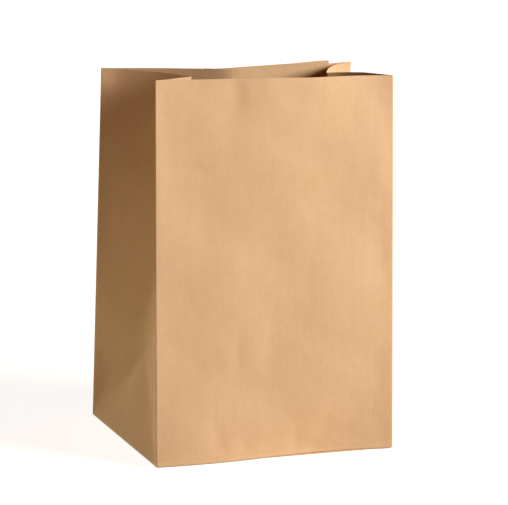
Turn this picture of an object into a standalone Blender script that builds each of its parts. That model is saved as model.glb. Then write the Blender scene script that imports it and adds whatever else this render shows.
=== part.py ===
# Brown kraft paper bag with a block bottom, standing open.
# Run with: blender --background --python part.py
#
# The bag is one folded sheet. A tube of paper is closed by a lap seam on its back panel. Each side panel
# is a gusset, creased down its middle and tucked in between the front and back panels. The tube's lower
# end is folded under and pasted as two overlapping flaps. The front looks towards -Y and the left side
# towards -X. The origin is the centre of the underside. Lengths are in metres.

import math

import bmesh
import bpy
from mathutils import Vector

# The sheet
PAPER = 0.00015  # thickness of the kraft paper
PASTE_GAP = 0.00008  # thickness of the paste between the two plies of the lap seam
WIDTH = 0.187  # front and back panels, fold to fold
DEPTH = 0.130  # side panels, fold to fold
HEIGHT = 0.280  # bottom fold to rim, along the paper
FOLD_RADIUS = 0.0030  # soft radius along the bottom folds

# How the mouth has settled: each upper corner has moved from above its lower corner
FRONT_LEAN_LEFT = 0.0134  # front panel's left upper corner, backwards
FRONT_LEAN_RIGHT = 0.0193  # front panel's right upper corner, backwards
FRONT_DRIFT_LEFT = 0.0063  # front panel's left upper corner, to the left
FRONT_DRIFT_RIGHT = 0.0071  # front panel's right upper corner, to the left
BACK_LEAN_LEFT = 0.0400  # back panel's left upper corner, forwards
BACK_LEAN_RIGHT = 0.0485  # back panel's right upper corner, forwards
BACK_DRIFT_LEFT = 0.0182  # back panel's left upper corner, to the left
BACK_DRIFT_RIGHT = 0.0127  # back panel's right upper corner, to the left

# Gusset creases: where each meets the rim, measured from its front corner
LEFT_TUCK_IN = 0.0435
LEFT_TUCK_BACK = 0.0415
LEFT_TUCK_DIP = 0.0056  # the crease's end lies this much lower
RIGHT_TUCK_IN = 0.0394
RIGHT_TUCK_BACK = 0.0307
RIGHT_TUCK_DIP = 0.0044
APEX_TUCK = 0.0140  # how far in the top of the lower triangle leans
CREASE_EASE = 0.75  # below 1, a crease runs in fast above the triangle and then straightens

# Slack in the panels
LEFT_BACK_BOW = 0.0055  # left gusset's back half, bowed backwards at the rim
RIGHT_BACK_BOW = 0.0060
RIGHT_FRONT_BOW = 0.0030
CAVE = 0.0180  # back panel's rim, pushed forwards at the seam
CAVE_RADIUS = 0.0080  # bend at the deepest point of the cave
CAVE_START = 0.085  # height where the back panel starts to cave in
CAVE_FALL_LEFT = 1.8  # power by which the cave dies away to the left; 1 is a straight slope
CAVE_FALL_RIGHT = 1.1
FRONT_RIM_WAVE = 0.0035  # front panel's rim, forwards about the middle and back near the folds
RIM_WAVE_TURNS = 0.9  # waves from fold to fold
RIM_WAVE_START = 0.25  # share of the width where the rim swings forwards
FRONT_FOOT_BOW = 0.0045  # front panel's bottom fold, backwards at its middle
FOOT_BOW_HEIGHT = 0.070  # height at which that bow has died out

# Lap seam and lip of the back panel, measured from the panel's left fold
SEAM_EDGE = 0.0905  # free edge of the inner ply
SEAM_LAP = 0.020  # the outer ply reaches this far past it
PLY_SHIFT = 0.0003  # the inner ply lies this far to the left, to nest in the bend of the cave
LIP_RISE = 0.0024  # the outer ply's rim stands this much higher
LIP_RAMP = 0.0160  # length over which the lip rises inside the lap
LIP_INSET = 0.0190  # the lip stops this far short of the right fold
LIP_STEP = 0.0006  # width of the cut at the lip's end

# Pasted bottom
FLAP_OVERLAP = 0.020  # the front flap lies over the back flap by this much
FLAP_MARGIN = 0.0003  # the flaps lie this far inside the rounded folds

# Mesh steps
NEAR = 0.0001  # points closer than this are one point
HALF_GUSSET_STEPS = 6
PANEL_STEPS = 14
UPPER_STEPS = 15
FOLD_STEPS = 3

HALF = DEPTH / 2  # a gusset's half width, which is also the height of its lower triangle
FLAP_STACK = 2 * PAPER  # the two pasted flaps lie below the base
SEAM_START = HALF / HALF_GUSSET_STEPS  # height from which the two plies of the seam lie apart

KRAFT_COLOUR = (0.60, 0.38, 0.21, 1.0)


def clear_scene():
    for item in list(bpy.data.objects):
        bpy.data.objects.remove(item, do_unlink=True)


def new_collection(name):
    collection = bpy.data.collections.new(name)
    bpy.context.scene.collection.children.link(collection)
    return collection


def kraft_material():
    material = bpy.data.materials.new("kraft_paper")
    material.use_nodes = True
    shader = material.node_tree.nodes["Principled BSDF"]
    shader.inputs["Base Color"].default_value = KRAFT_COLOUR
    shader.inputs["Roughness"].default_value = 0.75
    shader.inputs["Metallic"].default_value = 0.0
    material.diffuse_color = KRAFT_COLOUR
    return material


def eased(value):
    # 0 below 0, 1 above 1, and an S-curve between them
    value = min(max(value, 0.0), 1.0)
    return value * value * (3 - 2 * value)


def steps(start, end, count):
    return [start + (end - start) * index / count for index in range(count + 1)]


def upright_fold(side, face, height):
    # A point on one of the four upright folds: side is -1 left or 1 right, face is -1 front or 1 back
    if face < 0:
        left, right = (FRONT_DRIFT_LEFT, FRONT_LEAN_LEFT), (FRONT_DRIFT_RIGHT, FRONT_LEAN_RIGHT)
    else:
        left, right = (BACK_DRIFT_LEFT, BACK_LEAN_LEFT), (BACK_DRIFT_RIGHT, BACK_LEAN_RIGHT)
    drift, lean = left if side < 0 else right
    rise = math.sqrt(HEIGHT ** 2 - drift ** 2 - lean ** 2)  # the fold keeps its length as it leans
    foot = Vector((side * WIDTH / 2, face * DEPTH / 2, 0.0))
    return foot + Vector((-drift, -face * lean, rise)) * (height / HEIGHT)


def gusset_apex(side):
    # The lower triangle leans in without changing its size
    return Vector((side * (WIDTH / 2 - APEX_TUCK), 0.0, math.sqrt(HALF ** 2 - APEX_TUCK ** 2)))


def gusset_crease(side, height):
    # The middle crease, from the apex up to the rim
    if side < 0:
        tuck = Vector((LEFT_TUCK_IN, LEFT_TUCK_BACK, -LEFT_TUCK_DIP))
    else:
        tuck = Vector((-RIGHT_TUCK_IN, RIGHT_TUCK_BACK, -RIGHT_TUCK_DIP))
    start = gusset_apex(side)
    end = upright_fold(side, -1, HEIGHT) + tuck
    climb = (height - HALF) / (HEIGHT - HALF)
    point = start.lerp(end, climb)
    point.x = start.x + (end.x - start.x) * climb ** CREASE_EASE
    return point


def lower_gusset_point(side, across, height):
    # Below the apex the two diagonal folds part the tucked halves from the flat triangle
    apex = gusset_apex(side)
    front_diagonal = upright_fold(side, -1, 0.0).lerp(apex, height / HALF)
    back_diagonal = upright_fold(side, 1, 0.0).lerp(apex, height / HALF)
    if across < height:
        return upright_fold(side, -1, height).lerp(front_diagonal, across / height)
    if across > DEPTH - height:
        return upright_fold(side, 1, height).lerp(back_diagonal, (DEPTH - across) / height)
    base = max(DEPTH - 2 * height, NEAR)
    return front_diagonal.lerp(back_diagonal, min((across - height) / base, 1.0))


def upper_gusset_point(side, across, height):
    # Above the apex each half runs from its upright fold to the middle crease, with a slight bow
    if across <= HALF:
        fold = upright_fold(side, -1, height)
        share = across / HALF
        bow = 0.0 if side < 0 else RIGHT_FRONT_BOW
    else:
        fold = upright_fold(side, 1, height)
        share = (DEPTH - across) / HALF
        bow = LEFT_BACK_BOW if side < 0 else RIGHT_BACK_BOW
    crease = gusset_crease(side, height)
    run = crease - fold
    inward = Vector((-run.y, run.x, 0.0)).normalized()
    if inward.y < 0:
        inward.negate()
    climb = (height - HALF) / (HEIGHT - HALF)
    return fold.lerp(crease, share) + inward * bow * 4 * share * (1 - share) * climb ** 2


def gusset_point(side, across, height):
    # across runs from 0 at the front fold to DEPTH at the back fold
    if height <= HALF:
        return lower_gusset_point(side, across, height)
    return upper_gusset_point(side, across, height)


def front_point(across, height):
    share = across / WIDTH
    point = upright_fold(-1, -1, height).lerp(upright_fold(1, -1, height), share)
    wave = math.sin(math.pi * share) * math.sin(math.tau * RIM_WAVE_TURNS * (share - RIM_WAVE_START))
    point.y -= FRONT_RIM_WAVE * wave * (height / HEIGHT) ** 3
    point.y += FRONT_FOOT_BOW * math.sin(math.pi * share) * (1 - eased(height / FOOT_BOW_HEIGHT))
    return point


def outer_ply_point(across, height):
    # The back panel caves in towards the rim, most of all along the seam
    point = upright_fold(-1, 1, height).lerp(upright_fold(1, 1, height), across / WIDTH)
    left = across < SEAM_EDGE
    reach, power = (SEAM_EDGE, CAVE_FALL_LEFT) if left else (WIDTH - SEAM_EDGE, CAVE_FALL_RIGHT)
    distance = math.hypot(across - SEAM_EDGE, CAVE_RADIUS) - CAVE_RADIUS
    furthest = math.hypot(reach, CAVE_RADIUS) - CAVE_RADIUS
    closeness = max(1 - distance / furthest, 0.0)
    point.y -= CAVE * closeness ** power * eased((height - CAVE_START) / (HEIGHT - CAVE_START))
    return point


def inner_ply_point(across, height):
    # Left of the seam the back panel becomes the inner ply, one paper and the paste further in
    point = outer_ply_point(across, height)
    parting = eased((height - FOLD_RADIUS) / (SEAM_START - FOLD_RADIUS)) * eased(2 * across / SEAM_EDGE)
    point.y -= (PAPER + PASTE_GAP) * parting
    point.x -= PLY_SHIFT * parting
    return point


def round_bottom_fold(point, height):
    # Below the fold radius the wall turns under along a quarter circle
    if height < FOLD_RADIUS:
        inset = FOLD_RADIUS * (1 - math.sin(math.acos(1 - height / FOLD_RADIUS)))
        point.x *= 1 - 2 * inset / WIDTH
        point.y *= 1 - 2 * inset / DEPTH
    point.z += FLAP_STACK
    return point


def lip_height(across):
    if across > WIDTH - LIP_INSET - LIP_STEP / 2:
        return 0.0
    return LIP_RISE * min(max((across - SEAM_EDGE + LIP_RAMP) / LIP_RAMP, 0.0), 1.0)


def gusset_stations():
    # The steps match the rows of the lower triangle, so that the diagonal folds run from point to point
    front_half = steps(0.0, HALF, HALF_GUSSET_STEPS)
    back_half = steps(HALF, DEPTH, HALF_GUSSET_STEPS)[1:]
    return sorted(front_half + back_half + [FOLD_RADIUS, DEPTH - FOLD_RADIUS])


def sheet_columns():
    # Stations of the unrolled sheet, from the inner ply's free edge round to the outer ply's free edge
    tab_end = SEAM_EDGE - SEAM_LAP
    lip_end = WIDTH - LIP_INSET
    lap = steps(tab_end, SEAM_EDGE, 2)
    inner = steps(0.0, tab_end, PANEL_STEPS // 2) + lap[1:]
    outer = lap + steps(SEAM_EDGE, lip_end - LIP_STEP, PANEL_STEPS // 2)[1:] + steps(lip_end, WIDTH, 2)
    left = gusset_stations()
    front = steps(0.0, WIDTH, PANEL_STEPS)
    right = gusset_stations()
    columns = [("inner", across) for across in reversed(inner)]
    columns += [("left", across) for across in reversed(left[:-1])]
    columns += [("front", across) for across in front[1:]]
    columns += [("right", across) for across in right[1:]]
    columns += [("outer", across) for across in reversed(outer[:-1])]
    return columns


def sheet_rows():
    # Heights above the bottom fold: round its radius, up the lower triangle, and on to the rim
    fold = [FOLD_RADIUS * (1 - math.cos(math.pi / 2 * index / FOLD_STEPS)) for index in range(FOLD_STEPS + 1)]
    return fold + steps(0.0, HALF, HALF_GUSSET_STEPS)[1:] + steps(HALF, HEIGHT, UPPER_STEPS)[1:]


def sheet_point(panel, across, height):
    if height >= HEIGHT and panel == "outer":
        height += lip_height(across)
    if panel == "left":
        point = gusset_point(-1, across, height)
    elif panel == "right":
        point = gusset_point(1, across, height)
    elif panel == "front":
        point = front_point(across, height)
    elif panel == "inner":
        point = inner_ply_point(across, height)
    else:
        point = outer_ply_point(across, height)
    return round_bottom_fold(point, height)


def same(first, second):
    return abs(first - second) < NEAR


def place_points(mesh, columns, rows):
    # Below the seam's start the outer ply has no tab, and up to the fold radius the two plies are one
    grid = []
    for panel, across in columns:
        points = []
        for height in rows:
            at_seam = panel == "outer" and same(across, SEAM_EDGE)
            in_tab = panel == "outer" and across < SEAM_EDGE - NEAR
            if at_seam and height <= FOLD_RADIUS:
                points.append(grid[0][len(points)])
            elif in_tab and height < SEAM_START - NEAR:
                points.append(None)
            else:
                points.append(mesh.verts.new(sheet_point(panel, across, height)))
        grid.append(points)
    return grid


def strip_stations(before, after):
    # Where the two columns of a gusset's strip lie across it, or None for a strip of another panel
    panel = after[0]
    if panel not in ("left", "right"):
        return None
    fold = DEPTH if panel == "left" else 0.0
    return (before[1] if before[0] == panel else fold), after[1]


def add_cell(mesh, corners, stations, heights):
    # A cell that a diagonal fold of the gusset crosses is split along the fold
    if stations:
        low, high = heights
        for start, end in (stations, [DEPTH - station for station in stations]):
            if same(start, low) and same(end, high):
                mesh.faces.new((corners[0], corners[1], corners[2]))
                mesh.faces.new((corners[0], corners[2], corners[3]))
                return
            if same(start, high) and same(end, low):
                mesh.faces.new((corners[0], corners[1], corners[3]))
                mesh.faces.new((corners[1], corners[2], corners[3]))
                return
    mesh.faces.new(corners)


def fold_sheet():
    # The open surface of the bag: its walls, then the base across their lower edge
    mesh = bmesh.new()
    columns, rows = sheet_columns(), sheet_rows()
    grid = place_points(mesh, columns, rows)
    for index in range(len(columns) - 1):
        stations = strip_stations(columns[index], columns[index + 1])
        for row in range(len(rows) - 1):
            near, far = grid[index], grid[index + 1]
            corners = (near[row], far[row], far[row + 1], near[row + 1])
            if None not in corners:
                add_cell(mesh, corners, stations, rows[row:row + 2])
    ring = [points[0] for points in grid if points[0] is not None]
    mesh.faces.new(list(reversed(ring[:-1])))
    return mesh


def base_edge(point_of):
    # The flat base's edge below a big panel, left to right
    return [round_bottom_fold(point_of(across, 0.0), 0.0) for across in steps(0.0, WIDTH, PANEL_STEPS)]


def flap_outline(edge, face):
    # A pasted flap runs from its panel's bottom fold to just past the middle, between two diagonal folds
    reach = FLAP_OVERLAP / 2
    narrower = 1 - 2 * FLAP_MARGIN / WIDTH
    outline = [Vector((point.x * narrower, point.y - face * FLAP_MARGIN)) for point in edge]
    left, right = outline[0], outline[-1]
    run = abs(left.y) + reach
    outline.append(Vector((right.x - run, -face * reach)))
    outline.append(Vector((left.x + run, -face * reach)))
    return outline


def add_object(name, mesh, collection, material=None):
    data = bpy.data.meshes.new(name)
    mesh.to_mesh(data)
    mesh.free()
    if material:
        data.materials.append(material)
    item = bpy.data.objects.new(name, data)
    collection.objects.link(item)
    return item


def add_flap(name, edge, face, bottom, collection):
    # The flap's solid reaches halfway into the base, so that the two become one
    mesh = bmesh.new()
    corners = [mesh.verts.new((spot.x, spot.y, bottom)) for spot in flap_outline(edge, face)]
    outline = mesh.faces.new(corners)
    height = FLAP_STACK + PAPER / 2 - bottom
    raised = bmesh.ops.extrude_face_region(mesh, geom=[outline])["geom"]
    top = [item for item in raised if isinstance(item, bmesh.types.BMVert)]
    bmesh.ops.translate(mesh, verts=top, vec=(0, 0, height))
    bmesh.ops.recalc_face_normals(mesh, faces=mesh.faces)
    flap = add_object(name, mesh, collection)
    flap.hide_render = True
    flap.display_type = "WIRE"
    return flap


def paste(bag, flap):
    union = bag.modifiers.new(flap.name, "BOOLEAN")
    union.operation = "UNION"
    union.solver = "EXACT"
    union.object = flap


def build_bag():
    bags = new_collection("paper_bag")
    helpers = new_collection("paper_bag_flaps")
    bag = add_object("paper_bag", fold_sheet(), bags, kraft_material())
    thickness = bag.modifiers.new("paper", "SOLIDIFY")
    thickness.thickness = PAPER
    thickness.offset = -1.0
    thickness.use_even_offset = True
    paste(bag, add_flap("back_flap", base_edge(outer_ply_point), 1, PAPER, helpers))
    paste(bag, add_flap("front_flap", base_edge(front_point), -1, 0.0, helpers))


clear_scene()
build_bag()
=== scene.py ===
# Looks of the brown kraft paper bag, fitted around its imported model.
# The bag is one folded sheet, worked out with numpy as a grid of stations round the bag and heights
# up the paper. The front looks towards -Y and the left side towards -X. Lengths are in metres.
import math

import bpy
import numpy as np
from mathutils import Matrix, Vector


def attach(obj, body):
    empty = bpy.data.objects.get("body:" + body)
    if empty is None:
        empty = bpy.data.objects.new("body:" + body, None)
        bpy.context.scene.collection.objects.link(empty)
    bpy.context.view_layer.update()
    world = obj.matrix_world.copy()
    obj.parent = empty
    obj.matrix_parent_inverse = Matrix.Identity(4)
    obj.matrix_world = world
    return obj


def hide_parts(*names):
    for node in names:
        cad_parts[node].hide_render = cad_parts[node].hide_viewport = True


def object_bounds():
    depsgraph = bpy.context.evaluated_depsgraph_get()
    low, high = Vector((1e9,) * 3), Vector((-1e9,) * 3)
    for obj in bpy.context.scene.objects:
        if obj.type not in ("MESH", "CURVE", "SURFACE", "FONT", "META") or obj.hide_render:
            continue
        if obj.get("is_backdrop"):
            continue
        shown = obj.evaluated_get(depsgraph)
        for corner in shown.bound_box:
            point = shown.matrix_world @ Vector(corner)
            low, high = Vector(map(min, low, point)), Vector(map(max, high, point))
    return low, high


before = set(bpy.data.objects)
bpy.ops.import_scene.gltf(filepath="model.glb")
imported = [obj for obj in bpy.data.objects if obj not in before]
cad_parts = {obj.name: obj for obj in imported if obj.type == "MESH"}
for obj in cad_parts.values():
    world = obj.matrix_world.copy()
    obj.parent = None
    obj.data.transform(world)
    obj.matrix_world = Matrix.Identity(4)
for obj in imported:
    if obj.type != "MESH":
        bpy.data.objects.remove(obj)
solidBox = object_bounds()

scene = bpy.context.scene
nearZero = 1e-12  # keeps a division away from 0
sameSpot = 1e-6  # closer than this, two places on the sheet are one

bag = {
    "paper": 0.00015,  # thickness of the sheet
    "pasteGap": 0.00008,  # between the two plies of the back seam
    "width": 0.187,
    "depth": 0.130,
    "height": 0.280,  # bottom fold to rim, along the paper
    "bottomRadius": 0.0018,  # soft radius of the bottom folds
    "backLeftFoot": (-0.0022, 0.0042),  # this corner of the bottom stands out from the rectangle
    "frontLeftShift": (-0.0063, 0.0134),  # how far a rim corner has moved, sideways and back
    "frontRightShift": (-0.0071, 0.0193),
    "backLeftShift": (-0.0176, -0.0442),
    "backRightShift": (-0.0127, -0.0485),
    "leftTuck": (0.0435, 0.0415, 0.0056),  # crease at the rim: in, back and down from the front corner
    "rightTuck": (0.0394, 0.0307, 0.0044),
    "apexTuck": 0.0140,  # how far in the top of the lower triangle leans
    "creaseEase": 0.75,
    "leftBackBow": 0.0055,  # slack of a gusset half at the rim
    "rightBackBow": 0.0060,
    "rightFrontBow": 0.0030,
    "cave": 0.0180,  # back panel's rim, pushed forwards at the seam
    "caveRadius": 0.0110,
    "caveStart": 0.085,
    "caveFallLeft": 1.8,
    "caveFallRight": 1.1,
    "rimWave": 0.0035,
    "rimWaveTurns": 0.9,
    "rimWaveStart": 0.25,
    "footBow": 0.0022,
    "footSway": 0.0027,  # a full wave across the foot, forwards at the left
    "footBowHeight": 0.070,
    "seamEdge": 0.0905,  # free edge of the inner ply, from the back panel's left fold
    "seamLap": 0.020,
    "plyShift": 0.0003,
    "seamStart": 0.0070,  # height from which the two plies lie apart
    "seamPartsBy": 0.5,  # share of the inner ply, from its fold, in which they part
    "lipInset": 0.0190,  # from the end of the outer ply's raised edge to the right fold
    "lipStep": 0.0006,  # width of the cut at that end
    # how far the cut edge stands above the bag's height, by the place across each panel
    "rimEdge": {
        "inner": ((0.0, -0.0004), (0.036, -0.0002), (0.056, 0.0001), (0.0775, 0.0006)),
        "left": ((0.0, 0.00075), (0.030, 0.0), (0.065, 0.0), (0.130, -0.0004)),
        "front": ((0.0, 0.00075), (0.011, 0.0007), (0.035, 0.0001), (0.088, 0.0001), (0.118, -0.0007),
                  (0.150, -0.0010), (0.187, -0.0018)),
        "right": ((0.0, -0.0018), (0.030, 0.0), (0.065, 0.0), (0.130, 0.0012)),
        "outer": ((0.0775, 0.0006), (0.094, 0.0017), (0.120, 0.0021), (0.140, 0.0024), (0.160, 0.0034),
                  (0.1674, 0.0033), (0.1680, 0.0007), (0.187, 0.0012)),
    },
    "rimFade": 0.020,  # these heights fade out over this much paper below the rim
}

mesh = {
    "gussetStep": 0.0025,
    "panelStep": 0.0031,
    "wallStep": 0.0031,
    "bottomRows": 7,
    "besideFold": (0.00045, 0.0010, 0.0018),  # extra stations on both sides of a fold
    "clearOfFold": 0.6,  # even stations nearer to them than this share of the last are left out
    "cutStrip": 0.0003,  # a narrow row beside each cut edge, where the shading turns into the edge
    "foldRadius": 0.0010,
    "creaseRadius": 0.016,  # the middle crease is this much softer at its lower end
    "creaseSharpens": 0.110,  # and has its sharp fold this far above it
    "diagonalPasses": 2,  # rounds of averaging that soften the diagonal folds
    # where that starts and over how much it grows, from the upright folds and from the foot
    "besideUpright": (0.002, 0.004),
    "aboveFoot": (0.003, 0.004),
    "pastApex": 0.008,  # and it fades out over this much above the apex
    "baseOnPattern": 1.0,  # the base's part of the pattern lies this far beside the walls'
}

slack = {
    "seed": 11,
    "longWaves": (7, 0.075, 0.00042),  # how many, length, height
    "middleWaves": (12, 0.030, 0.00010),
    "shortWaves": (18, 0.012, 0.000025),
    "waveHeading": (1.0, 1.0, 0.75),  # the waves run round the bag rather than up it
    "wavePitch": (0.7, 1.4),  # shortest and longest of a kind, in parts of its length
    "waveGain": 1.4,
    "stillNearFold": 0.014,
    "diagonalSlope": 0.7,  # distance from a diagonal for each metre along the sheet
    "creaseWearGap": 0.0012,
    "wearWidth": 0.0009,  # half width of the lighter paper along a fold
    # soft dents of the front panel: across, height, half width, half height, depth
    "dents": (
        (0.048, 0.017, 0.006, 0.008, 0.0007),
        (0.068, 0.012, 0.007, 0.009, 0.0006),
        (0.110, 0.013, 0.005, 0.008, 0.0006),
        (0.124, 0.006, 0.006, 0.006, 0.0005),
        (0.062, 0.272, 0.006, 0.012, 0.0006),
        (0.087, 0.274, 0.010, 0.010, -0.0005),
        (0.040, 0.216, 0.022, 0.0025, 0.00035),
        (0.052, 0.207, 0.014, 0.0040, 0.00035),
        (0.058, 0.245, 0.012, 0.030, 0.0007),
        (0.030, 0.110, 0.020, 0.035, 0.0006),
        (0.090, 0.085, 0.006, 0.020, 0.0004),
        (0.064, 0.080, 0.005, 0.018, 0.0004),
        (0.040, 0.0045, 0.034, 0.0022, -0.00035),
        (0.155, 0.0045, 0.026, 0.0022, -0.00035),
    ),
    "packingCrease": (0.053, 0.0012, 0.00018),  # height, half width and depth of the old flat fold
    "packingCreaseLeft": 0.35,  # its strength at the left, in parts of that at the right
    "packingCreaseGrows": (0.120, 0.060),  # where it starts to grow, and over how much
}


def smoothStep(value):
    # 0 below 0, 1 above 1, and 3t^2 - 2t^3 between them
    value = np.clip(value, 0.0, 1.0)
    return value * value * (3 - 2 * value)


def between(start, end, share):
    # the straight line from start to end, one point for each share
    return start + (end - start) * share[..., None]


def uprightFold(side, face, height):
    # straight from the bottom corner to the shifted rim corner, with the paper's length kept
    panel = "front" if face < 0 else "back"
    shift = bag[panel + ("LeftShift" if side < 0 else "RightShift")]
    rise = math.sqrt(bag["height"] ** 2 - shift[0] ** 2 - shift[1] ** 2)
    foot = np.array([side * bag["width"] / 2, face * bag["depth"] / 2, 0.0])
    if side < 0 < face:
        foot[:2] += bag["backLeftFoot"]
    return foot + np.array([shift[0], shift[1], rise]) * (height / bag["height"])[..., None]


def gussetApex(side):
    # the triangle leans in by apexTuck, and its height along the paper is half the depth
    half = bag["depth"] / 2
    inward = bag["width"] / 2 - bag["apexTuck"]
    return np.array([side * inward, 0.0, math.sqrt(half ** 2 - bag["apexTuck"] ** 2)])


def gussetCrease(side, height):
    # straight from the apex to its place at the rim, but running in as climb to the power of creaseEase
    half, whole = bag["depth"] / 2, bag["height"]
    inward, behind, below = bag["leftTuck"] if side < 0 else bag["rightTuck"]
    start = gussetApex(side)
    end = uprightFold(side, -1, np.array(whole)) + np.array([-side * inward, behind, -below])
    climb = np.clip((height - half) / (whole - half), 0.0, 1.0)
    point = between(start, end, climb)
    point[..., 0] = start[0] + (end[0] - start[0]) * climb ** bag["creaseEase"]
    return point


def gussetSurface(side, across, height):
    # Below the apex: a flat leaning triangle between two tucked corners, which meet it on 45 degree
    # diagonals. Above it: two halves, each straight from its upright fold to the middle crease plus
    # a swell of 4s(1-s), where s is the share of the way to the crease.
    half, whole = bag["depth"] / 2, bag["height"]
    inFront = (across <= half)[..., None]
    reach = np.where(across <= half, across, bag["depth"] - across)
    fold = np.where(inFront, uprightFold(side, -1, height), uprightFold(side, 1, height))
    foot = np.where(inFront, uprightFold(side, -1, height * 0), uprightFold(side, 1, height * 0))
    apex = gussetApex(side)
    diagonal = between(foot, apex, height / half)
    corner = between(fold, diagonal, np.clip(reach / np.maximum(height, nearZero), 0.0, 1.0))
    front = between(uprightFold(side, -1, height * 0), apex, height / half)
    back = between(uprightFold(side, 1, height * 0), apex, height / half)
    span = np.maximum(bag["depth"] - 2 * height, sameSpot)
    triangle = between(front, back, (across - height) / span)
    lower = np.where((reach < height)[..., None], corner, triangle)

    crease = gussetCrease(side, height)
    share = reach / half
    run = crease - fold
    inward = np.stack([-run[..., 1], run[..., 0]], axis=-1)
    inward *= np.where(inward[..., 1:] < 0, -1.0, 1.0)
    inward /= np.maximum(np.linalg.norm(inward, axis=-1, keepdims=True), nearZero)
    frontBow = 0.0 if side < 0 else bag["rightFrontBow"]
    backBow = bag["leftBackBow"] if side < 0 else bag["rightBackBow"]
    bow = np.where(across <= half, frontBow, backBow)
    climb = np.clip((height - half) / (whole - half), 0.0, 1.0)
    swell = bow * 4 * share * (1 - share) * climb ** 2
    upper = between(fold, crease, share)
    upper[..., :2] += inward * swell[..., None]
    return np.where((height <= half)[..., None], lower, upper)


def frontSurface(across, height):
    # flat between its two folds, plus a sine wave that grows with the third power of the height, and
    # at the foot a half wave less a full one
    share = across / bag["width"]
    point = between(uprightFold(-1, -1, height), uprightFold(1, -1, height), share)
    turn = math.tau * bag["rimWaveTurns"] * (share - bag["rimWaveStart"])
    arch = np.sin(math.pi * share)
    point[..., 1] -= bag["rimWave"] * arch * np.sin(turn) * (height / bag["height"]) ** 3
    bow = bag["footBow"] * arch - bag["footSway"] * np.sin(math.tau * share)
    point[..., 1] += bow * (1 - smoothStep(height / bag["footBowHeight"]))
    return point


def backSurface(across, height):
    # flat between its two folds, less a cave that is deepest on the seam and grows towards the rim
    point = between(uprightFold(-1, 1, height), uprightFold(1, 1, height), across / bag["width"])
    left = across < bag["seamEdge"]
    radius = bag["caveRadius"]
    reach = np.where(left, bag["seamEdge"], bag["width"] - bag["seamEdge"])
    power = np.where(left, bag["caveFallLeft"], bag["caveFallRight"])
    distance = np.hypot(across - bag["seamEdge"], radius) - radius
    furthest = np.hypot(reach, radius) - radius
    closeness = np.clip(1 - distance / furthest, 0.0, 1.0)
    climb = smoothStep((height - bag["caveStart"]) / (bag["height"] - bag["caveStart"]))
    point[..., 1] -= bag["cave"] * closeness ** power * climb
    return point


def innerPlySurface(across, height):
    # the back panel's surface, moved inwards by one paper and the paste
    point = backSurface(across, height)
    rising = smoothStep((height - bag["bottomRadius"]) / (bag["seamStart"] - bag["bottomRadius"]))
    parting = rising * smoothStep(across / (bag["seamPartsBy"] * bag["seamEdge"]))
    point[..., 1] -= (bag["paper"] + bag["pasteGap"]) * parting
    point[..., 0] -= bag["plyShift"] * parting
    return point


def rimTrim(panel, across):
    # the panel's table, read straight between its places
    places, heights = zip(*bag["rimEdge"][panel])
    return np.interp(across, places, heights)


def roundBottomFold(point, height):
    # below the radius the wall turns under on a quarter circle; the pasted flaps lift the whole sheet
    radius = bag["bottomRadius"]
    inset = radius * (1 - np.sin(np.arccos(1 - np.clip(height / radius, 0.0, 1.0))))
    point[..., 0] *= 1 - 2 * inset / bag["width"]
    point[..., 1] *= 1 - 2 * inset / bag["depth"]
    point[..., 2] += 2 * bag["paper"]
    return point


def evenStations(start, end, step, folds=()):
    # even steps from start to end, with extra stations beside each fold
    even = np.linspace(start, end, max(round((end - start) / step), 1) + 1)
    beside = [fold + sign * gap for fold in folds for gap in mesh["besideFold"] for sign in (-1, 1)]
    beside = np.array([spot for spot in beside if start < spot < end])
    if len(beside):
        fromFold = np.min(np.abs(even[:, None] - np.array(folds)), axis=1)
        kept = np.isin(even, [start, end]) | (fromFold < sameSpot)
        edge = max(mesh["besideFold"]) * mesh["clearOfFold"]
        clear = np.min(np.abs(even[:, None] - beside), axis=1) > edge
        even = even[kept | clear]
    return np.unique(np.concatenate([even, beside]))


def sheetStations():
    # the unrolled sheet: inner ply, left gusset, front, right gusset, outer ply
    width, depth = bag["width"], bag["depth"]
    lapStart = bag["seamEdge"] - bag["seamLap"]
    lipEnd = width - bag["lipInset"]
    gusset = evenStations(0.0, depth, mesh["gussetStep"], (0.0, depth / 2, depth))
    front = evenStations(0.0, width, mesh["panelStep"], (0.0, width))
    lap = evenStations(lapStart, bag["seamEdge"], mesh["panelStep"])
    strip = mesh["cutStrip"]
    inner = np.concatenate([
        evenStations(0.0, lapStart, mesh["panelStep"], (0.0,)), lap[1:-1], [lap[-1] - strip, lap[-1]],
    ])
    outer = np.concatenate([
        [lap[0], lap[0] + strip], lap[1:],
        evenStations(bag["seamEdge"], lipEnd - bag["lipStep"], mesh["panelStep"])[1:],
        evenStations(lipEnd, width, mesh["panelStep"], (width,)),
    ])
    return [
        ("inner", inner[::-1]),
        ("left", gusset[::-1][1:]),
        ("front", front[1:]),
        ("right", gusset[1:]),
        ("outer", outer[::-1][1:]),
    ]


def sheetHeights():
    # even turns round the bottom fold, then even steps to the apex and from there to the rim
    radius, half = bag["bottomRadius"], bag["depth"] / 2
    turns = np.linspace(0.0, math.pi / 2, mesh["bottomRows"] + 1)
    fold = radius * (1 - np.cos(turns))
    lower = np.arange(1, round(half / mesh["gussetStep"]) + 1) * mesh["gussetStep"]
    upper = evenStations(half, bag["height"], mesh["wallStep"])[1:]
    rim = [upper[-1] - mesh["cutStrip"], upper[-1]]
    return np.concatenate([fold, lower[lower > radius + mesh["foldRadius"]], upper[:-1], rim])


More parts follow.
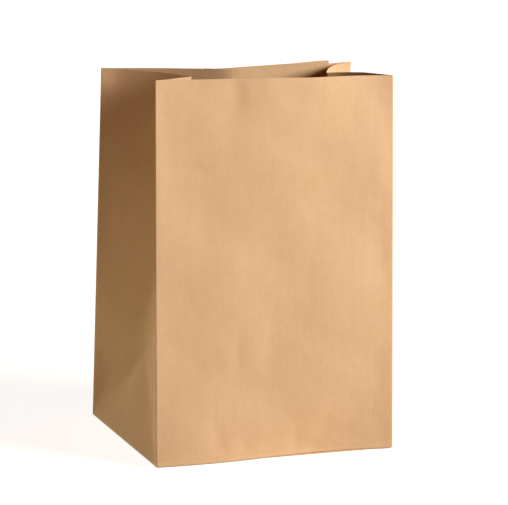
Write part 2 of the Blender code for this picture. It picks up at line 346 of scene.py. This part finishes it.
def softenDiagonals(points, columns, heights):
    # neighbours are averaged in both directions, only below the apex and away from the upright folds
    half, past = bag["depth"] / 2, mesh["pastApex"]
    beside, besideGrows = mesh["besideUpright"]
    above, aboveGrows = mesh["aboveFoot"]
    for start, end, across in columns:
        block = points[start:end]
        reach = np.minimum(across, bag["depth"] - across)
        share = smoothStep((reach - beside) / besideGrows)[:, None]
        share = share * smoothStep((heights - above) / aboveGrows)
        share = share * smoothStep((half + past - heights) / past)
        for _ in range(mesh["diagonalPasses"]):
            along = block.copy()
            along[1:-1] = (block[:-2] + 2 * block[1:-1] + block[2:]) / 4
            up = along.copy()
            up[:, 1:-1] = (along[:, :-2] + 2 * along[:, 1:-1] + along[:, 2:]) / 4
            block += (up - block) * share[..., None]


def foldSpan(stations, fold, radius):
    # the first, middle and last station within the radius, and each one's share of the way
    before, middle, after = (
        int(np.argmin(np.abs(stations - fold - step))) for step in (-radius, 0.0, radius)
    )
    share = (stations[before:after + 1] - stations[before]) / (stations[after] - stations[before])
    return before, middle, after, share


def foldCurve(start, corner, end, turn):
    # (1-t)^2 of the start, 2t(1-t) of the corner and t^2 of the end
    return (1 - turn) ** 2 * start + 2 * turn * (1 - turn) * corner + turn ** 2 * end


def roundFolds(points, stations, folds):
    # within the radius of a fold the sheet follows the fold curve
    for fold in folds:
        before, middle, after, share = foldSpan(stations, fold, mesh["foldRadius"])
        start, corner, end = points[before].copy(), points[middle].copy(), points[after].copy()
        points[before:after + 1] = foldCurve(start, corner, end, share[:, None, None])


def softenCreases(points, stations, heights, creases):
    # the same curve, with a radius that shrinks from the apex upwards
    climb = smoothStep((heights - bag["depth"] / 2) / mesh["creaseSharpens"])
    for crease in creases:
        for row, radius in enumerate(mesh["creaseRadius"] * (1 - climb)):
            if radius >= mesh["foldRadius"]:
                before, middle, after, share = foldSpan(stations, crease, radius)
                start, corner, end = points[before, row], points[middle, row], points[after, row]
                points[before:after + 1, row] = foldCurve(start, corner, end, share[:, None])


def surfaceNormals(points):
    # the cross product of the steps round the bag and up the paper points outwards
    normal = np.cross(np.gradient(points, axis=0), np.gradient(points, axis=1))
    return normal / np.maximum(np.linalg.norm(normal, axis=-1, keepdims=True), nearZero)


def waver(points):
    # sums of plane sine waves through space, so that two plies that touch move together
    random = np.random.default_rng(slack["seed"])
    total = np.zeros(points.shape[:2])
    for count, length, height in (slack["longWaves"], slack["middleWaves"], slack["shortWaves"]):
        heading = random.normal(size=(count, 3)) * np.array(slack["waveHeading"])
        heading /= np.linalg.norm(heading, axis=1, keepdims=True)
        pitch = length * random.uniform(*slack["wavePitch"], size=count)
        phase = random.uniform(0.0, math.tau, size=count)
        height *= slack["waveGain"] / math.sqrt(count)
        for way, each, start in zip(heading, pitch, phase):
            total += height * np.sin(points @ way * math.tau / each + start)
    return total


def frontDents(across, height):
    # each dent is a bell curve; the packing crease is a narrow bell along the whole panel
    total = np.zeros(across.shape)
    for x, z, wide, high, depth in slack["dents"]:
        total -= depth * np.exp(-((across - x) / wide) ** 2 - ((height - z) / high) ** 2)
    level, wide, depth = slack["packingCrease"]
    weak = slack["packingCreaseLeft"]
    place, grows = slack["packingCreaseGrows"]
    strength = weak + (1 - weak) * smoothStep((across - place) / grows)
    return total - depth * strength * np.exp(-((height - level) / wide) ** 2)


def buildSheet():
    # all panels as one grid of points, with each point's distance from the nearest fold
    heights = sheetHeights()
    panels = sheetStations()
    blocks, girths, foldGaps, gussets, bumps = [], [], [], [], []
    start = 0
    width, depth = bag["width"], bag["depth"]
    for name, across in panels:
        wide, high = np.meshgrid(across, heights, indexing="ij")
        nearRim = smoothStep((high - bag["height"] + bag["rimFade"]) / bag["rimFade"])
        high = high + rimTrim(name, wide) * nearRim
        if name in ("left", "right"):
            side = -1 if name == "left" else 1
            point = gussetSurface(side, wide, high)
            reach = np.minimum(wide, depth - wide)
            # the creases are worn at the rim and at the bottom corners, and not round the apex
            softly = 1 - smoothStep(np.abs(high - depth / 2) / mesh["creaseSharpens"])
            toDiagonal = np.abs(reach - high) * slack["diagonalSlope"]
            toCrease = np.where(high > depth / 2, depth / 2 - reach, toDiagonal)
            toCrease = toCrease + slack["creaseWearGap"] * softly
            gap = np.minimum(reach, toCrease)
            girth = depth - across if name == "left" else depth + width + across
            gussets.append((start, start + len(across), across))
            dent = np.zeros(wide.shape)
        elif name == "front":
            point = frontSurface(wide, high)
            gap = np.minimum(wide, width - wide)
            girth = depth + across
            dent = frontDents(wide, high)
        else:
            point = innerPlySurface(wide, high) if name == "inner" else backSurface(wide, high)
            gap = np.minimum(wide, width - wide)
            girth = -across if name == "inner" else 2 * depth + 2 * width - across
            dent = np.zeros(wide.shape)
        blocks.append(roundBottomFold(point, high))
        girths.append(girth)
        foldGaps.append(np.minimum(gap, np.maximum(high - bag["bottomRadius"], 0.0)))
        bumps.append(dent)
        start += len(across)
    points = np.concatenate(blocks)
    girth = np.concatenate(girths)
    gap = np.concatenate(foldGaps)
    dents = np.concatenate(bumps)
    softenDiagonals(points, gussets, heights)
    uprights = (0.0, depth, depth + width, 2 * depth + width)
    creases = (depth / 2, 1.5 * depth + width)
    roundFolds(points, girth, sorted(uprights + creases))
    softenCreases(points, girth, heights, creases)
    calm = smoothStep(gap / slack["stillNearFold"])
    normals = surfaceNormals(points)
    points += normals * (waver(points) * calm + dents)[..., None]
    lowest = points[:, 0, 2].min()
    return points, girth, heights, gap, panels, lowest


def sheetNumbers(points, heights, panels):
    # numbers the grid's points; below seamStart the outer ply has no lap, and at the bottom fold it
    # shares its seam edge with the inner ply
    columns, rows = points.shape[:2]
    number = np.arange(columns * rows).reshape(columns, rows)
    outerAcross = panels[-1][1]
    first = columns - len(outerAcross)
    inLap = np.nonzero(outerAcross < bag["seamEdge"] - sameSpot)[0] + first
    atSeam = int(np.argmin(np.abs(outerAcross - bag["seamEdge"]))) + first
    low = heights < bag["seamStart"] - sameSpot
    number[np.ix_(inLap, np.nonzero(low)[0])] = -1
    shared = np.nonzero(heights <= bag["bottomRadius"] + sameSpot)[0]
    number[atSeam, shared] = number[0, shared]
    return number, atSeam


def addMesh(name, vertices, loops, sizes, uv, wear):
    # faces are runs of the loops, as long as sizes says, and wear is how worn the paper is at a point
    data = bpy.data.meshes.new(name)
    data.vertices.add(len(vertices))
    data.vertices.foreach_set("co", vertices.astype(np.float32).ravel())
    data.loops.add(len(loops))
    data.loops.foreach_set("vertex_index", loops.astype(np.int32))
    data.polygons.add(len(sizes))
    starts = np.concatenate([[0], np.cumsum(sizes)[:-1]])
    data.polygons.foreach_set("loop_start", starts.astype(np.int32))
    data.update(calc_edges=True)
    data.uv_layers.new(name="sheet").data.foreach_set("uv", uv.astype(np.float32).ravel())
    data.attributes.new("foldWear", "FLOAT", "POINT").data.foreach_set("value", wear.astype(np.float32))
    data.polygons.foreach_set("use_smooth", np.ones(len(sizes), dtype=bool))
    data.validate()
    piece = bpy.data.objects.new(name, data)
    scene.collection.objects.link(piece)
    return piece


def sheetPiece():
    # the grid's cells, and one flat face inside the ring of the bottom fold; wear is the bell curve
    # of the distance from the nearest fold
    points, girth, heights, gap, panels, lowest = buildSheet()
    number, atSeam = sheetNumbers(points, heights, panels)
    columns, rows = number.shape
    corners = [(0, 0), (1, 0), (1, 1), (0, 1)]
    cell = [number[c:columns - 1 + c, r:rows - 1 + r] for c, r in corners]
    cell = np.stack(cell, axis=-1)
    wide, high = np.meshgrid(girth, heights, indexing="ij")
    flat = np.stack([wide, high], axis=-1)
    uv = np.stack([flat[c:columns - 1 + c, r:rows - 1 + r] for c, r in corners], axis=2)
    kept = np.all(cell >= 0, axis=-1)
    loops, uv = cell[kept], uv[kept]

    ring = number[:atSeam, 0]
    foot = points.reshape(-1, 3)[ring]
    loopList = np.concatenate([loops.ravel(), ring[::-1]])
    footPattern = foot[::-1, :2] + np.array([mesh["baseOnPattern"], 0.0])
    uvList = np.concatenate([uv.reshape(-1, 2), footPattern])
    sizes = np.concatenate([np.full(len(loops), 4), [len(ring)]])

    used, renumbered = np.unique(loopList, return_inverse=True)
    vertices = points.reshape(-1, 3)[used]
    wear = np.exp(-(gap.reshape(-1)[used] / slack["wearWidth"]) ** 2)
    piece = addMesh("kraftBag", vertices, renumbered, sizes, uvList, wear)
    thickness = piece.modifiers.new("paper", "SOLIDIFY")
    thickness.thickness = bag["paper"]
    thickness.offset = -1.0
    thickness.use_even_offset = True
    return piece, foot, lowest


print("folding the sheet")
kraftBag, foot, lowest = sheetPiece()
print("sheet", len(kraftBag.data.vertices), "points, lowest", round(lowest * 1000, 3), "mm")

flaps = {
    "overlap": 0.020,  # the front flap lies over the back flap by this much
    "margin": 0.0003,  # the flaps keep this far inside the bottom folds
    "rows": 13,  # points from the bottom fold to the free edge
    "topPapers": 2.5,  # height of a flap's upper face, which lies inside the base's paper
    "onPattern": (1.4, 0.2),  # their place on the pattern, and how far each lies to its side
}


def flapPiece(name, face, bottom):
    # a ruled sheet from its panel's bottom fold to just past the middle, between two 45 degree
    # diagonals, as a closed prism from the bottom's height to topPapers
    edge = foot[(foot[:, 1] * face > bag["depth"] / 2 - 2 * bag["bottomRadius"])]
    edge = edge[np.argsort(edge[:, 0])]
    count = len(edge)
    narrow = 1 - 2 * flaps["margin"] / bag["width"]
    near = np.stack([edge[:, 0] * narrow, edge[:, 1] - face * flaps["margin"]], axis=-1)
    reach = flaps["overlap"] / 2
    run = abs(near[0, 1]) + reach
    far = np.stack([
        np.linspace(near[0, 0] + run, near[-1, 0] - run, count),
        np.full(count, -face * reach),
    ], axis=-1)
    rows = np.linspace(0.0, 1.0, flaps["rows"])
    plan = near[:, None] + (far - near)[:, None] * rows[None, :, None]
    top = flaps["topPapers"] * bag["paper"]
    low = np.concatenate([plan, np.full(plan.shape[:2] + (1,), bottom)], axis=-1).reshape(-1, 3)
    high = low.copy()
    high[:, 2] = top
    vertices = np.concatenate([low, high])
    size = (count, len(rows))
    number = np.arange(count * len(rows)).reshape(size)
    quads = np.stack([number[:-1, :-1], number[:-1, 1:], number[1:, 1:], number[1:, :-1]], axis=-1)
    quads = quads.reshape(-1, 4)
    around = [number[:, 0], number[-1, 1:], number[::-1, -1][1:], number[0, ::-1][1:-1]]
    around = np.concatenate(around)
    following = np.roll(around, -1)
    offset = count * len(rows)
    walls = np.stack([around, following, following + offset, around + offset], axis=-1)
    loops = np.concatenate([quads, quads[:, ::-1] + offset, walls])
    if face > 0:
        loops = loops[:, ::-1]
    place, aside = flaps["onPattern"]
    pattern = vertices[:, :2] + np.array([place + face * aside, 0.0])
    wear = np.zeros(len(vertices))
    uv = pattern[loops.ravel()]
    return addMesh(name, vertices, loops.ravel(), np.full(len(loops), 4), uv, wear)


print("pasting the bottom")
backFlap = flapPiece("backFlap", 1, bag["paper"])
frontFlap = flapPiece("frontFlap", -1, 0.0)

kraft = {
    "colour": (0.725, 0.460, 0.258),
    "pale": (0.785, 0.513, 0.297),
    "deep": (0.665, 0.398, 0.206),
    "speck": (0.300, 0.160, 0.075),
    "worn": (0.800, 0.560, 0.350),
    "roughness": 0.62,
    "roughnessSpread": (-0.06, 0.08),  # added to it on the smoothest and the roughest fibres
    "sheenFrom": (0.3, 0.7),  # part of the fibres' noise that this spread is laid over
    "specular": 0.30,
    # patches per metre round the bag and up it, detail, distortion, weight in the colour
    "clouds": (24, 18, 3.0, 0.0, 0.55),
    "mottle": (150, 90, 4.0, 0.0, 0.35),
    "fibres": (1700, 420, 5.0, 0.6, 0.75),
    "streaks": (330, 9, 2.0, 0.0, 0.20),
    "specks": (1100, 520, 2.0, 0.4, 0.32),
    "noiseRoughness": 0.55,
    "toneRange": (0.15, 0.85),  # tones at which the colour is the deep and the pale one
    "speckRange": (0.66, 0.76),  # part of the noise that turns into specks
    "cockle": (0.35, 0.0004),  # strength and depth of the bump of the mottle
    "fibreRelief": (0.30, 0.00008),
}


def addNode(tree, kind, inputs=None, **settings):
    node = tree.nodes.new(kind)
    for name, value in settings.items():
        setattr(node, name, value)
    for name, value in (inputs or {}).items():
        if isinstance(value, bpy.types.NodeSocket):
            tree.links.new(value, node.inputs[name])
        else:
            node.inputs[name].default_value = value
    return node


def noiseOnSheet(tree, place, name):
    # noise on the unrolled sheet
    around, up, detail, distortion, _ = kraft[name]
    stretched = addNode(tree, "ShaderNodeMapping", {"Vector": place, "Scale": (around, up, 1.0)})
    pattern = addNode(tree, "ShaderNodeTexNoise", {
        "Vector": stretched.outputs["Vector"], "Scale": 1.0, "Detail": detail,
        "Roughness": kraft["noiseRoughness"], "Distortion": distortion,
    })
    return pattern.outputs["Fac"]


def kraftMaterial():
    # the tone is 0.5 plus each pattern's weight times its distance from its middle; a ramp turns it
    # into colour, and the specks and the worn folds are mixed over that
    material = bpy.data.materials.new("kraftPaper")
    material.use_nodes = True
    tree = material.node_tree
    shader = tree.nodes["Principled BSDF"]
    place = addNode(tree, "ShaderNodeUVMap", uv_map="sheet").outputs["UV"]
    toned = ("clouds", "mottle", "fibres", "streaks")
    noise = {name: noiseOnSheet(tree, place, name) for name in toned + ("specks",)}
    tone = 0.5
    for name in toned:
        centred = addNode(tree, "ShaderNodeMath", {0: noise[name], 1: 0.5}, operation="SUBTRACT")
        tone = addNode(tree, "ShaderNodeMath", {
            0: centred.outputs[0], 1: kraft[name][-1], 2: tone,
        }, operation="MULTIPLY_ADD").outputs[0]
    ramp = addNode(tree, "ShaderNodeValToRGB", {"Fac": tone})
    for end, colour in enumerate(("deep", "pale")):
        ramp.color_ramp.elements[end].position = kraft["toneRange"][end]
        ramp.color_ramp.elements[end].color = (*kraft[colour], 1.0)
    middle = ramp.color_ramp.elements.new(0.5)
    middle.color = (*kraft["colour"], 1.0)

    fewest, most = kraft["speckRange"]
    speckMask = addNode(tree, "ShaderNodeMapRange", {
        "Value": noise["specks"], "From Min": fewest, "From Max": most,
        "To Min": 0.0, "To Max": kraft["specks"][-1],
    }).outputs["Result"]
    specked = addNode(tree, "ShaderNodeMix", data_type="RGBA")
    tree.links.new(speckMask, specked.inputs["Factor"])
    tree.links.new(ramp.outputs["Color"], specked.inputs["A"])
    specked.inputs["B"].default_value = (*kraft["speck"], 1.0)

    wear = addNode(tree, "ShaderNodeAttribute", attribute_name="foldWear").outputs["Fac"]
    broken = addNode(tree, "ShaderNodeMath", {0: wear, 1: noise["mottle"]}, operation="MULTIPLY")
    worn = addNode(tree, "ShaderNodeMix", data_type="RGBA")
    tree.links.new(broken.outputs[0], worn.inputs["Factor"])
    tree.links.new(specked.outputs["Result"], worn.inputs["A"])
    worn.inputs["B"].default_value = (*kraft["worn"], 1.0)
    tree.links.new(worn.outputs["Result"], shader.inputs["Base Color"])

    smoothest, roughest = (kraft["roughness"] + more for more in kraft["roughnessSpread"])
    sheen = addNode(tree, "ShaderNodeMapRange", {
        "Value": noise["fibres"], "From Min": kraft["sheenFrom"][0], "From Max": kraft["sheenFrom"][1],
        "To Min": smoothest, "To Max": roughest,
    })
    tree.links.new(sheen.outputs["Result"], shader.inputs["Roughness"])
    shader.inputs["Specular IOR Level"].default_value = kraft["specular"]

    cockle = addNode(tree, "ShaderNodeBump", {
        "Height": noise["mottle"], "Strength": kraft["cockle"][0], "Distance": kraft["cockle"][1],
    })
    fine = addNode(tree, "ShaderNodeBump", {
        "Height": noise["fibres"], "Strength": kraft["fibreRelief"][0],
        "Distance": kraft["fibreRelief"][1], "Normal": cockle.outputs["Normal"],
    })
    tree.links.new(fine.outputs["Normal"], shader.inputs["Normal"])
    return material


print("making the paper")
kraftPaper = kraftMaterial()
for piece in (kraftBag, backFlap, frontFlap):
    piece.data.materials.append(kraftPaper)
    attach(piece, "root")
    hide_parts("paper_bag")

studio = {
    "floorSize": 14.0,
    "floorLevel": -0.0003,  # just under the bag, so that the two never share a plane
    "floorColour": (0.68, 0.56, 0.44),
    "floorRoughness": 0.9,
    "glowNear": 0.88,  # what a camera sees added to the lit floor beside the bag
    "glowFar": 1.0,
    "glowReach": (0.35, 1.60),  # distances from the bag between which the glow rises
    "keyPlace": (2.35, -1.87, 1.28),
    "keySize": 1.5,
    "keyPower": 131.0,
    "keyColour": (1.0, 0.995, 0.955),
    "fillPlace": (-1.50, 0.85, 0.12),
    "fillSize": 0.8,
    "fillPower": 12.2,
    "fillColour": (1.0, 0.94, 0.58),
    "worldColour": (1.0, 0.45, 0.20),
    "worldStrength": 0.05,
}


def studioFloor():
    # lit as a dull warm sheet, with a white glow that only a camera or a reflection sees
    half, level = studio["floorSize"] / 2, studio["floorLevel"]
    data = bpy.data.meshes.new("studioFloor")
    corners = [(-half, -half, level), (half, -half, level), (half, half, level), (-half, half, level)]
    data.from_pydata(corners, [], [(0, 1, 2, 3)])
    floor = bpy.data.objects.new("studioFloor", data)
    scene.collection.objects.link(floor)
    material = bpy.data.materials.new("paleFloor")
    material.use_nodes = True
    tree = material.node_tree
    shader = tree.nodes["Principled BSDF"]
    shader.inputs["Base Color"].default_value = (*studio["floorColour"], 1.0)
    shader.inputs["Roughness"].default_value = studio["floorRoughness"]
    shader.inputs["Specular IOR Level"].default_value = 0.0
    path = addNode(tree, "ShaderNodeLightPath")
    seen = addNode(tree, "ShaderNodeMath", {
        0: path.outputs["Is Camera Ray"], 1: path.outputs["Is Glossy Ray"],
    }, operation="MAXIMUM")
    place = addNode(tree, "ShaderNodeTexCoord").outputs["Object"]
    away = addNode(tree, "ShaderNodeVectorMath", {0: place}, operation="LENGTH").outputs["Value"]
    rising = addNode(tree, "ShaderNodeMapRange", {
        "Value": away, "From Min": studio["glowReach"][0], "From Max": studio["glowReach"][1],
        "To Min": studio["glowNear"], "To Max": studio["glowFar"],
    }, interpolation_type="SMOOTHSTEP").outputs["Result"]
    glow = addNode(tree, "ShaderNodeMath", {0: seen.outputs[0], 1: rising}, operation="MULTIPLY")
    shader.inputs["Emission Color"].default_value = (1.0, 1.0, 1.0, 1.0)
    tree.links.new(glow.outputs[0], shader.inputs["Emission Strength"])
    data.materials.append(material)
    floor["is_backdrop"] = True


def studioLamp(name):
    # a round lamp, turned to the middle of the bag
    lamp = bpy.data.lights.new(name + "Lamp", "AREA")
    lamp.shape = "DISK"
    lamp.size = studio[name + "Size"]
    lamp.energy = studio[name + "Power"]
    lamp.color = studio[name + "Colour"]
    place = studio[name + "Place"]
    holder = bpy.data.objects.new(name + "Lamp", lamp)
    aim = Vector((0.0, 0.0, bag["height"] / 2)) - Vector(place)
    holder.matrix_world = Matrix.Translation(place) @ aim.to_track_quat("-Z", "Y").to_matrix().to_4x4()
    scene.collection.objects.link(holder)


def studioWorld():
    # dim and warm for the object, white for whatever looks at it
    world = bpy.data.worlds.new("studioWorld")
    world.use_nodes = True
    tree = world.node_tree
    tree.nodes.clear()
    path = addNode(tree, "ShaderNodeLightPath")
    seen = addNode(tree, "ShaderNodeMath", {
        0: path.outputs["Is Camera Ray"], 1: path.outputs["Is Glossy Ray"],
    }, operation="MAXIMUM").outputs[0]
    seen = addNode(tree, "ShaderNodeMath", {
        0: seen, 1: path.outputs["Is Transmission Ray"],
    }, operation="MAXIMUM").outputs[0]
    light = addNode(tree, "ShaderNodeBackground", {
        "Color": (*studio["worldColour"], 1.0), "Strength": studio["worldStrength"],
    })
    white = addNode(tree, "ShaderNodeBackground", {"Color": (1.0, 1.0, 1.0, 1.0), "Strength": 1.0})
    chosen = addNode(tree, "ShaderNodeMixShader", {0: seen, 1: light.outputs[0], 2: white.outputs[0]})
    output = addNode(tree, "ShaderNodeOutputWorld")
    tree.links.new(chosen.outputs[0], output.inputs["Surface"])
    scene.world = world


print("lighting the studio")
studioFloor()
studioLamp("key")
studioLamp("fill")
studioWorld()

view = {
    "place": (-0.8006, -1.9184, 0.6490),
    "yaw": 22.71,  # degrees, from straight at the front panel towards the right
    "pitch": 13.78,  # degrees down
    "roll": 2.53,
    "focalPixels": 2902.0,
    "imageWidth": 508.0,
    "sensorWidth": 36.0,
    "clipEnd": 50.0,
}


def photoCamera():
    # the view direction from yaw and pitch, turned about itself by the roll
    yaw, pitch, roll = (math.radians(view[name]) for name in ("yaw", "pitch", "roll"))
    level = math.cos(pitch)
    ahead = Vector((math.sin(yaw) * level, math.cos(yaw) * level, -math.sin(pitch)))
    right = ahead.cross(Vector((0.0, 0.0, 1.0))).normalized()
    up = right.cross(ahead)
    tiltedRight = math.cos(roll) * right + math.sin(roll) * up
    tiltedUp = -math.sin(roll) * right + math.cos(roll) * up
    turned = Matrix((tiltedRight, tiltedUp, -ahead)).transposed().to_4x4()
    camera = bpy.data.cameras.new("photoCamera")
    camera.sensor_fit = "HORIZONTAL"
    camera.sensor_width = view["sensorWidth"]
    camera.lens = view["focalPixels"] / view["imageWidth"] * view["sensorWidth"]
    camera.clip_end = view["clipEnd"]
    holder = bpy.data.objects.new("photoCamera", camera)
    holder.matrix_world = Matrix.Translation(view["place"]) @ turned
    scene.collection.objects.link(holder)
    scene.camera = holder


print("placing the camera")
photoCamera()
scene.view_settings.view_transform = "Standard"

bpy.context.view_layer.update()
boxes = {"cad": solidBox, "visual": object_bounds()}
boxes = {name: [list(map(float, corner)) for corner in box] for name, box in boxes.items()}
